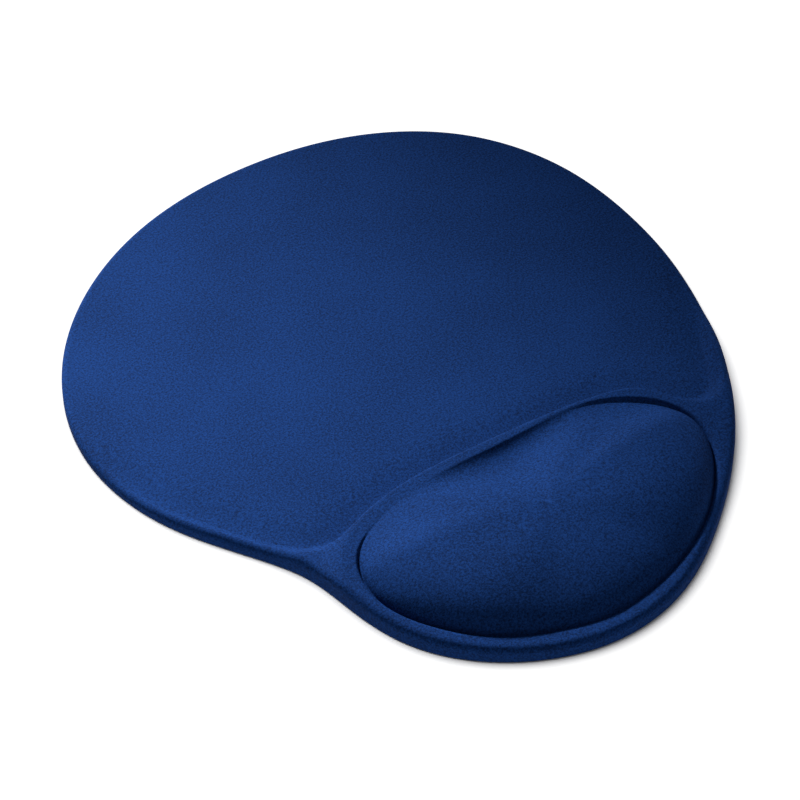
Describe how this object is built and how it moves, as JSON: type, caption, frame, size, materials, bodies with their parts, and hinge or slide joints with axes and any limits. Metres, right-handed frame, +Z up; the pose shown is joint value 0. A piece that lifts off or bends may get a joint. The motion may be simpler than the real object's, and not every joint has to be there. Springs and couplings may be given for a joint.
{
  "type": "mouse pad with gel wrist rest",
  "caption": "Foot-shaped fabric mouse pad with a raised rim around a crowned gel wrist pillow, a foam body and a non-slip underside.",
  "frame": {"origin": "centre of the bounding box's bottom, on the underside", "axes": "+Z up, -Y towards the user and the wrist pillow, +Y towards the far edge of the mouse area, +X to the user's right"},
  "size_m": [0.2044, 0.2356, 0.016],
  "materials": {
    "cover_fabric": "royal blue brushed stretch knit",
    "backing_film": "thin matt elastic film",
    "pack_film": "clear glossy elastic film",
    "gel": "soft translucent gel",
    "foam": "fine-celled moulded foam",
    "base_rubber": "matt black with a fine raised grip pattern"
  },
  "bodies": {
    "root": {"fabric_cover": "cover_fabric", "cover_backing_film": "backing_film", "gel_upper_film": "pack_film", "gel_filling": "gel", "gel_lower_film": "pack_film", "foam_body": "foam", "non_slip_base": "base_rubber"}
  },
  "joints": []
}
